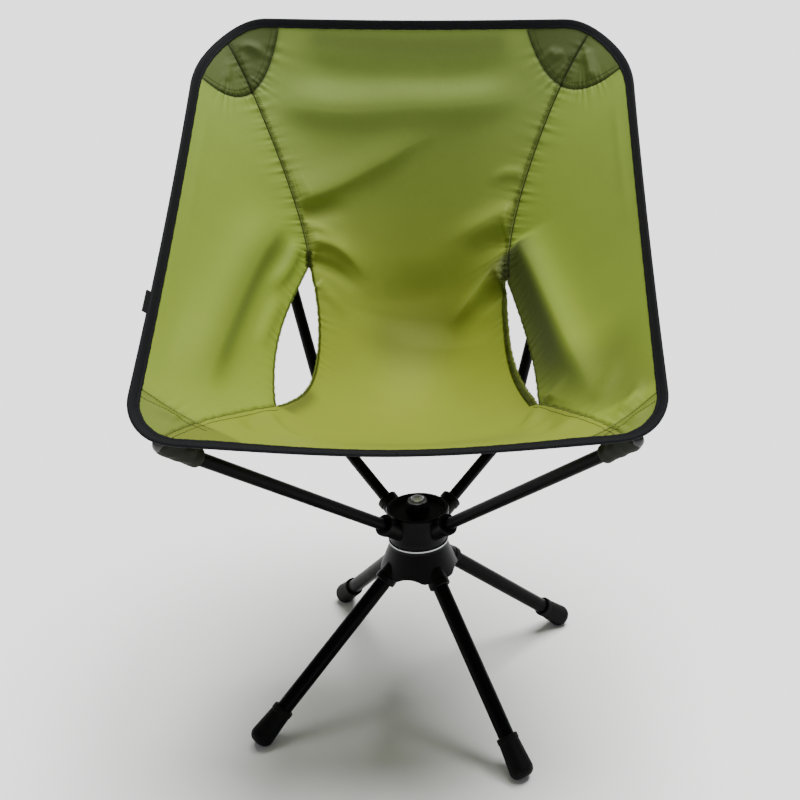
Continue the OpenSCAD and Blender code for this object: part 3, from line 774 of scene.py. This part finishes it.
foot_rubber = moulded("foot_rubber", (0.0018, 0.0018, 0.0020), 0.62, grain=600.0, specular_ior_level=0.10)
tip_nylon = moulded("tip_nylon", (0.010, 0.010, 0.010), 0.45)
anodised = metal("anodised_black", (0.0010, 0.0010, 0.0012), 0.36, metallic=0.0, specular_ior_level=0.05)
bolt_steel = metal("bolt_steel", (0.62, 0.63, 0.65), 0.34)
washer_steel = metal("washer_steel", (0.20, 0.20, 0.21), 0.45)
ring_steel = metal("ring_steel", (0.36, 0.37, 0.38), 0.30)
raw_aluminium = metal("raw_aluminium", (0.55, 0.56, 0.57), 0.38)
acetal = moulded("acetal", (0.74, 0.72, 0.66), 0.45, grain=1200.0, wear=0.04)
shock_cord = woven("shock_cord", (0.03, 0.03, 0.03), pitch=0.0016)

POLES = ("front_pole", "rear_lower_pole", "rear_upper_pole")
CAD_LOOKS = [
    (hub_nylon, ["lower_hub", "upper_hub"]),
    (bolt_steel, ["swivel_bolt", "lock_nut"]),
    (washer_steel, ["lower_washer", "top_washer"]),
    (ring_steel, ["swivel_ring"]),
    (acetal, ["slide_disc", "swivel_bush"]),
    (raw_aluminium, ["rear_ferrules"]),
    (tip_nylon, ["pole_tips"]),
    (anodised, ["leg_tube_" + c for c in CORNERS] + [f"{p}_{s}" for p in POLES for s in SIDE_NAME.values()]),
    (foot_rubber, ["foot_" + c for c in CORNERS]),
    (shock_cord, ["leg_cord_" + c for c in CORNERS] + ["front_pole_cords", "rear_pole_cords"]),
]
for look, names in CAD_LOOKS:
    for name in names:
        nodes[name].data.materials.clear()
        nodes[name].data.materials.append(look)

# seat cloth -------------------------------


def spaced(n, ends):
    """0 to 1 in n steps that are closer together at both ends."""
    t = np.linspace(0, 1, n)
    return (1 - ends) * t + ends * (1 - np.cos(math.pi * t)) / 2


PANEL_ROWS, PANEL_COLS, WING_COLS = 560, 250, 130
ROW_ENDS, COL_ENDS = 0.45, 0.5
EDGE_IN, SEAM_IN = 0.004, 0.001     # shares of a half width that the cloth ends inside the rim and a seam
HEM_IN, HEM_RUN = 0.0015, 0.997     # shares of the seat's run: inside the front hem, and from there on


def build_panel():
    v = HEM_IN + HEM_RUN * spaced(PANEL_ROWS, ROW_ENDS)[:, None]
    s = (2 * spaced(PANEL_COLS, COL_ENDS) - 1)[None, :]
    left, right = (np.minimum(edge_u(v), panel_edge(v, side)) - SEAM_IN for side in (LEFT, RIGHT))
    piece = cloth_sheet("seat_panel_cloth", np.where(s > 0, s * left, s * right), v, seat_cloth)
    return on_seat(piece, "seat_panel")


def build_wing(side):
    whole = np.linspace(0.004, 0.996, 1200)
    wide = whole[edge_u(whole) - EDGE_IN > wing_edge(whole, side) + 0.004]
    v = (wide[0] + (wide[-1] - wide[0]) * spaced(PANEL_ROWS, ROW_ENDS))[:, None]
    inner, outer = wing_edge(v, side) + SEAM_IN, edge_u(v) - EDGE_IN
    u = side * (inner + (outer - inner) * spaced(WING_COLS, COL_ENDS)[None, :])
    piece = cloth_sheet(f"wing_{SIDE_NAME[side]}_cloth", u, v, wing_cloth)
    return on_seat(piece, f"wing_{SIDE_NAME[side]}")


PATCH_ROWS, PATCH_COLS = 50, {"front": 90, "back": 110}
PATCH_OUT = 0.985                   # the share of the half width at which a patch's seam meets the binding
PATCH_OFF = (0.0006, 0.0013)        # how far a patch's two faces lie under the middle of the cloth


def build_patches(which):
    parts, weave = [], []
    for side in (LEFT, RIGHT):
        t = np.linspace(0, 1, PATCH_ROWS)[:, None]
        start = 0.72 if which == "front" else BACK_PATCH[side][0] + 0.01
        a = np.linspace(start, PATCH_OUT, PATCH_COLS[which])[None, :]
        if which == "front":
            v = (edge_v_front(a) + 0.002) * (1 - t) + np.maximum(front_patch_v(a, side), 0.006) * t
        else:
            v = back_patch_v(a, side) * (1 - t) + (edge_v_top(a) - 0.002) * t
        u = side * a + 0 * v
        points = np.vstack([place(u, v, -off).reshape(-1, 3) for off in PATCH_OFF])
        parts.append((points, sheet_faces(*u.shape)[:, ::side]))
        weave += [metric(u, v)] * 2
    piece = mesh_object(f"{which}_corner_patches", *merged(parts), patch_cloth, weave=np.vstack(weave))
    return on_seat(piece, f"{which}_patches")


panel = build_panel()
wings = {side: build_wing(side) for side in (LEFT, RIGHT)}
patches = {which: build_patches(which) for which in ("front", "back")}

# binding ----------------------------------

BIND_IN = 0.010
BIND_ROUND = (0.0008, -0.0020, 0.0019)      # the tape's round edge: its middle, reach and half thickness
BIND_STITCH = (0.0072, 0.00125)     # the stitches' place: in from the rim, and off the cloth's middle
# the tape's outer face from its inner edge outwards: how far in from the rim, and half its thickness
BIND_FACE = (
    (BIND_IN, 0.0010), (0.0094, 0.0014), (0.0078, 0.00135), (0.0072, 0.0011),
    (0.0066, 0.00135), (0.0045, 0.00165), (0.0022, 0.00185),
)
# its inner face, as a slot that the cloth's edge lies in: how far in, and half the slot
BIND_SLOT_HALF = CLOTH_T / 2 + 0.0002
BIND_SLOT = ((BIND_IN, BIND_SLOT_HALF), (0.004, BIND_SLOT_HALF), (0.0012, BIND_SLOT_HALF))
BIND_TIE = (0.0006, 0.0)
BIND_PITCH = 0.0022
RIM_SMOOTHINGS = 6


def rim_uv(n):
    """The seat's outline as u, v, all the way round from the middle of the front hem."""
    t = np.linspace(0, 1, n)
    front, top = corner_curve(FRONT_CORNER, 0, 1 - t), corner_curve(TOP_CORNER, 1, t)
    half = [
        (t * front[0][0], 0 * t),
        front,
        (1 + 0 * t, front[1][-1] + (top[1][0] - front[1][-1]) * t),
        top,
        (top[0][-1] * (1 - t), 1 + 0 * t),
    ]
    u = np.concatenate([h[0][:-1] for h in half])
    v = np.concatenate([h[1][:-1] for h in half])
    return np.concatenate([u, [0], -u[:0:-1]]), np.concatenate([v, [1], v[:0:-1]])


def even_rim(pitch):
    """Even steps round the outline, with the direction inwards and off the cloth at each."""
    u, v = rim_uv(80)
    line = smooth_cloth(u, v)
    run = run_along(np.vstack([line, line[:1]]))
    at = np.linspace(0, run[-1], int(run[-1] / pitch), endpoint=False)
    uu = np.interp(at, run, np.append(u, u[0]))
    vv = np.interp(at, run, np.append(v, v[0]))
    points = smooth_cloth(uu, vv)
    for _ in range(RIM_SMOOTHINGS):
        points = (np.roll(points, 1, 0) + 2 * points + np.roll(points, -1, 0)) / 4
    up = cloth_normal(uu, vv)
    way = unit(np.roll(points, -1, 0) - np.roll(points, 1, 0))
    inward = unit(np.cross(up, way))
    return points, inward, np.cross(way, inward), at, uu, vv


def half_round(middle, out, half):
    """The round edge of a tape's section, which reaches out from its middle."""
    turn = np.linspace(-math.pi / 2, math.pi / 2, 9)
    return [(middle + out * math.cos(a), half * math.sin(a)) for a in turn]


def bind_section():
    outer = [(x, -y) for x, y in BIND_FACE] + half_round(*BIND_ROUND) + [*BIND_FACE[::-1]]
    return np.array(outer + [*BIND_SLOT, BIND_TIE] + [(x, -y) for x, y in BIND_SLOT[::-1]])


def build_binding():
    points, inward, up, at, u, v = even_rim(BIND_PITCH)
    tilt = (np.arctan2(hem_roll(u, BIND_IN), BIND_IN) * (1 - smoothstep(0.0, 0.01, v)))[:, None]
    inward, up = inward * np.cos(tilt) + up * np.sin(tilt), up * np.cos(tilt) - inward * np.sin(tilt)
    section = bind_section()
    wave = np.sin(2 * math.pi * at / 0.0065 + 1.3 * np.sin(at * 90)) + np.sin(2 * math.pi * at / 0.021)
    wave = wave[:, None] / 2
    low, high = smoothstep(0.10, 0.16, v), smoothstep(0.86, 0.92, v)
    corner = (smoothstep(0.7, 0.95, np.abs(u)) * (1 - low * (1 - high)))[:, None]
    swell = 1 + (0.05 + 0.12 * corner) * wave * smoothstep(0.002, 0.008, section[:, 0])
    x = section[:, 0] + 0.00025 * wave * smoothstep(0.006, BIND_IN, section[:, 0])
    y = section[:, 1] * swell
    made = points[:, None] + inward[:, None] * x[..., None] + up[:, None] * y[..., None]
    faces = grid_faces(*x.shape, wrap_rows=True, wrap_cols=True, flip=True)
    weave = weave_at(run_along(section)[None, :], at[:, None])
    piece = mesh_object("rim_binding_tape", made.reshape(-1, 3), faces, binding_tape, weave=weave)
    rows = []
    for side in (1, -1):
        line = points + inward * BIND_STITCH[0] + up * side * BIND_STITCH[1]
        rows.append((np.vstack([line, line[:1]]), np.vstack([side * up, side * up[:1]])))
    thread = mesh_object("binding_stitches", *stitch_mesh(rows, 0.0032, 0.0026, 0.0003), black_thread)
    return on_seat(piece, "rim_binding"), on_seat(thread)


binding, binding_stitches = build_binding()

# stitching --------------------------------

FELLED_THREAD, PATCH_THREAD = 0.00048, 0.00035      # radius
STITCH_OFF = 0.00012
# how far from a seam its rows of stitches run: a felled seam, a front seam, a back patch and a front patch
ROWS_BESIDE = ((0.0020,), (0.0020, 0.0080), (0.0018, 0.0075), (0.0, -0.0075))


def beside(u, v, shift):
    """A line that runs beside another on the seat, shift metres to its left."""
    p = smooth_cloth(u, v)
    way = unit(np.gradient(p, axis=0))
    across = np.cross(cloth_normal(u, v), way)
    du, dv = rates(u, v)
    step = across * shift
    a, b, c = (du * du).sum(1), (du * dv).sum(1), (dv * dv).sum(1)
    e, f = (du * step).sum(1), (dv * step).sum(1)
    det = a * c - b * b
    return u + (e * c - f * b) / det, v + (a * f - b * e) / det


def inside(u, v):
    """Where a thread is clear of the binding."""
    a = np.abs(u)
    return (a < edge_u(v) - 0.03) & (v > edge_v_front(a) + 0.006) & (v < edge_v_top(a) - 0.006)


def sewn_row(u, v, shift, top):
    """Points for a row of stitches and the normals there. top is 1 on the seat and -1 under it."""
    u, v = beside(u, v, shift)
    keep = inside(u, v)
    u, v = u[keep], v[keep]
    return place(u, v, top * (CLOTH_T / 2 + STITCH_OFF)), cloth_normal(u, v) * top


def build_seam_threads():
    """The dark line of every felled seam and patch seam: the thread that shows in its groove."""
    tubes = []
    for side in (LEFT, RIGHT):
        v = np.linspace(VENT_HIGH + 0.002, 0.985, 160)
        a = np.linspace(BACK_PATCH[side][0], 0.99, 140)
        seams = ((joined_seam(v, side)[1], v, FELLED_THREAD), (a, back_patch_v(a, side), PATCH_THREAD))
        for u, v, radius in seams:
            keep = inside(u, v)
            tubes.append(tube(place(side * u[keep], v[keep], CLOTH_T / 2 + 0.0001), radius, 6))
    return on_seat(mesh_object("seam_threads", *merged(tubes), dark_thread))


def build_stitching():
    rows = []
    for side in (LEFT, RIGHT):
        high, low = np.linspace(VENT_HIGH + 0.004, 0.985, 60), np.linspace(0.006, VENT_LOW - 0.004, 60)
        back, front = np.linspace(BACK_PATCH[side][0], 0.99, 80), np.linspace(0.70, 0.99, 70)
        for (u, v), shifts in zip(sewn_lines(side, high, low, back, front), ROWS_BESIDE):
            rows += [sewn_row(u, v, side * shift, top) for shift in shifts for top in (1, -1)]
    return on_seat(mesh_object("seam_stitches", *stitch_mesh(rows), green_thread))


TACK_PITCH, TACK_HALF, TACK_RADIUS = 0.0019, 0.0046, 0.00042
ZIGZAG_IN, ZIGZAG_OFF = (0, 0.55, 1.0, 0.45), (0, 1, 1, 1)  # one stitch: across the edge, off the cloth


def paced(u, v, pitch):
    """Places a pitch apart along a line on the seat."""
    run = run_along(smooth_cloth(u, v))
    at = np.arange(0, run[-1], pitch)
    return np.interp(at, run, u), np.interp(at, run, v)


def zigzag(side, edge, wide, pitch, v0, v1, out):
    """Overlock thread over one edge of a vent. out is +1 where the cloth lies outwards of the edge."""
    v = np.linspace(v0, v1, 400)
    u, v = paced(side * edge(v, side), v, pitch / 4)
    phase = np.arange(len(v)) % 4
    in_u, in_v = beside(u, v, -side * out * wide)
    shift = np.choose(phase, ZIGZAG_IN)
    off = np.choose(phase, ZIGZAG_OFF) * (CLOTH_T / 2 + 0.0003)
    path = place(u + (in_u - u) * shift, v + (in_v - v) * shift, off)
    edge_out = unit(smooth_cloth(u, v) - smooth_cloth(in_u, in_v)) * 0.0006
    return path + edge_out * (phase == 0)[:, None]


def bar_tack(side):
    """Close zigzags across the seam just over a vent's head, where the two edges are tacked together."""
    v = np.linspace(VENT_HIGH - 0.006, VENT_HIGH + 0.036, 200)
    u, v = paced(side * joined_seam(v, side)[1], v, TACK_PITCH / 2)
    turn = np.arange(len(v))
    wide = np.where(turn % 2, TACK_HALF, -TACK_HALF) * (1 + 0.25 * np.sin(turn * 2.3))
    over_u, over_v = beside(u, v, MM)
    return place(u + (over_u - u) * wide / MM, v + (over_v - v) * wide / MM, CLOTH_T / 2 + 0.0006)


# for each side: how far the thread reaches in from the panel's edge and the wing's edge, and its radius
OVERLOCK = {RIGHT: (0.0035, 0.0030, 0.00026), LEFT: (0.0088, 0.0030, 0.00040)}


def build_overlock():
    light, dark = [], []
    for side in (LEFT, RIGHT):
        in_panel, in_wing, radius = OVERLOCK[side]
        vent = (VENT_LOW, VENT_HIGH)
        row = (zigzag(side, panel_edge, in_panel, 0.0022, *vent, -1), radius)
        (dark if side == LEFT else light).append(row)
        light.append((zigzag(side, wing_edge, in_wing, 0.0026, *vent, 1), 0.00024))
        if side == LEFT:
            light.append((zigzag(side, panel_edge, 0.9 * in_panel, 0.0047, *vent, -1), radius * 1.15))
        light.append((zigzag(side, panel_edge, 0.0060, 0.0032, VENT_HIGH + 0.03, 0.955, -1), 0.00018))
        dark.append((bar_tack(side), TACK_RADIUS))
    looks = (("vent_overlock_light", light, overlock_thread), ("vent_overlock_dark", dark, green_thread))
    made = []
    for name, rows, look in looks:
        tubes = [tube(path, radius, 5) for path, radius in rows]
        made.append(on_seat(mesh_object(name, *merged(tubes), look)))
    return made


stitches = build_stitching()
seam_threads = build_seam_threads()
overlocks = build_overlock()

# pockets and tab --------------------------

POCKET_LEN, POCKET_PAST = 0.044, 0.0064     # how far a sleeve reaches down its pole, and past the tip
POCKET_R, POCKET_IN = 0.0093, 0.0082        # its radius outside and inside
POCKET_RINGS, POCKET_SIDES = 44, 64
PIVOT = np.array((0, 0, 0.198))     # where the front poles' lines meet
BEND_OUT, BEND_Z = 0.152 * math.cos(math.pi / 4), 0.285     # where a rear pole bends
TIP_AT = {"front": (0.87, 0.024), "back": (0.86, 0.94)}
TIP_DEPTH = 0.0136
CLEARANCE_STEPS = 8
SEWN_UNDER = 0.0018             # a sleeve's sewn edge stops this far under the smooth surface of the seat
HELD_REACH = (0.018, 0.030)     # farther than this from the seat, a sleeve is not sewn to it


def clearance(u, v, points, up):
    """How far each point is from the seat's smooth surface along up; u, v is a place near them."""
    u, v, h = np.full(len(points), u), np.full(len(points), v), np.full(len(points), TIP_DEPTH)
    for _ in range(CLEARANCE_STEPS):
        gap = points + up * h[:, None] - smooth_cloth(u, v)
        du, dv = rates(u, v)
        sides = np.stack([du, dv, -np.broadcast_to(up, du.shape)], -1)
        move = np.linalg.solve(sides, gap[..., None])[..., 0]
        u, v, h = u + move[:, 0], v + move[:, 1], h + move[:, 2]
    return h


def sleeve_radius(a, t, reach):
    """A sleeve's radius at each angle and share of its length, drawn to a teardrop where it is sewn."""
    close = np.sqrt(np.clip(1 - smoothstep(0.70, 1.0, t) ** 2 * 0.97, 0, 1))
    wrinkle = 0.00035 * np.sin(5 * a + 9 * t) * np.sin(2.5 * math.pi * t)
    wrinkle = wrinkle + 0.0002 * np.sin(23 * t + 2 * np.sin(a))
    hem = 0.0005 * np.exp(-(((t - 0.04) / 0.03) ** 2)) - 0.0004 * np.exp(-(((t - 0.17) / 0.02) ** 2))
    r = (POCKET_R + wrinkle + hem) * close
    held = smoothstep(0.30, 0.62, t) * (1 - smoothstep(*HELD_REACH, reach))
    crest = np.maximum(r * 1.001, POCKET_R * close + (reach - POCKET_R * close) * held)
    tangent = np.arccos(r / crest)
    from_top = np.abs(a - math.pi / 2)
    from_top = np.minimum(from_top, 2 * math.pi - from_top)
    return np.where(from_top < tangent, r / np.cos(tangent - from_top), r)


def build_pocket(which, side):
    u, v = TIP_AT[which]
    u, v = np.array(side * u), np.array(v)
    normal = cloth_normal(u, v)
    tip = smooth_cloth(u, v) - normal * TIP_DEPTH
    way = unit(tip - (PIVOT if which == "front" else (side * BEND_OUT, BEND_OUT, BEND_Z)))
    up = unit(normal - way * (normal @ way))
    across = np.cross(up, way)
    t = np.linspace(0, 1, POCKET_RINGS)[:, None]
    a = circle(POCKET_SIDES)[None, :]
    along = -POCKET_LEN + t * (POCKET_LEN + POCKET_PAST)
    reach = clearance(float(u), float(v), tip + way * along, up)[:, None] - SEWN_UNDER
    r = sleeve_radius(a, t, reach)
    skins = []
    for radius in (r, np.minimum(POCKET_IN, r - 0.0005)):
        skin = tip + way * along[..., None] + (radius * np.cos(a))[..., None] * across
        skins.append((skin + (radius * np.sin(a))[..., None] * up).reshape(-1, 3))
    n = POCKET_RINGS * POCKET_SIDES
    j = np.arange(POCKET_SIDES)
    k = (j + 1) % POCKET_SIDES
    mouth = [tuple(f) for f in np.stack([j, j + n, k + n, k], 1)]
    # each skin is capped at the tip only: at the mouth a ring joins the two
    outer, inner = capped(POCKET_RINGS, POCKET_SIDES), capped(POCKET_RINGS, POCKET_SIDES, n, flip=True)
    faces = outer[:-2] + outer[-1:] + inner[:-2] + inner[-1:] + mouth
    weave = np.tile(weave_at(a * POCKET_R, along), (2, 1))
    name = f"{which}_pocket_{SIDE_NAME[side]}"
    piece = mesh_object(f"{name}_sleeve", np.vstack(skins), faces, pocket_cloth, weave=weave)
    return on_seat(piece, name)


pockets = {(w, s): build_pocket(w, s) for w in ("front", "back") for s in (LEFT, RIGHT)}


TAB_V, TAB_LONG, TAB_OUT, TAB_HALF = (0.245, 0.288), 0.033, (0.0008, 0.0050), 0.0011


def build_tab():
    """A loop of webbing that stands out from the side rim."""
    v = np.linspace(*TAB_V, 26)
    u = np.full_like(v, RIGHT)
    base, up = smooth_cloth(u, v), cloth_normal(u, v)
    out = np.cross(unit(np.gradient(base, axis=0)), up)
    out = out * -np.sign(out[0, 0])
    near, far = TAB_OUT
    section = np.array([(near, -TAB_HALF), *half_round(far, TAB_HALF, TAB_HALF), (near, TAB_HALF)])
    made = base[:, None] + out[:, None] * section[None, :, :1] + up[:, None] * section[None, :, 1:]
    weave = weave_at(np.linspace(0, TAB_LONG, len(v))[:, None], run_along(section)[None, :])
    faces = capped(*made.shape[:2])
    piece = mesh_object("side_tab_loop", made.reshape(-1, 3), faces, webbing, weave=weave)
    on_seat(piece, "side_tab")


build_tab()

# floor and light --------------------------

FLOOR_HALF = 60.0
HAZE, SKY, HAZE_TOP = 1.5, 0.21, 0.17    # brightness at the horizon and above it; sine of where the haze ends
SUN_STRENGTH, SUN_SPREAD, SUN_WAY = 6.6, math.radians(38), Vector((-0.13, -0.12, -1.0))


def build_floor():
    floor_look = Nodes("floor_paper", (0.95, 0.95, 0.95), 0.9, specular_ior_level=0.0)
    points = [(x * FLOOR_HALF, y * FLOOR_HALF, 0) for x, y in ((-1, -1), (1, -1), (1, 1), (-1, 1))]
    floor = mesh_object("floor", points, [(0, 1, 2, 3)], floor_look.material, smooth=False)


def build_light():
    world = bpy.data.worlds.new("studio")
    world.use_nodes = True
    tree = world.node_tree
    sky = tree.nodes["Background"]
    sky.inputs["Color"].default_value = (1.0, 1.0, 1.0, 1)
    where = tree.nodes.new("ShaderNodeTexCoord")
    parts = tree.nodes.new("ShaderNodeSeparateXYZ")
    fade = tree.nodes.new("ShaderNodeMapRange")
    fade.interpolation_type = "SMOOTHSTEP"
    fade.inputs["From Max"].default_value = HAZE_TOP
    fade.inputs["To Min"].default_value = HAZE
    fade.inputs["To Max"].default_value = SKY
    tree.links.new(where.outputs["Generated"], parts.inputs[0])
    tree.links.new(parts.outputs["Z"], fade.inputs["Value"])
    tree.links.new(fade.outputs[0], sky.inputs["Strength"])
    bpy.context.scene.world = world
    data = bpy.data.lights.new("overhead", "SUN")
    data.energy, data.angle = SUN_STRENGTH, SUN_SPREAD
    add_object("overhead", data).rotation_euler = SUN_WAY.to_track_quat("-Z", "Y").to_euler()


build_floor()
build_light()
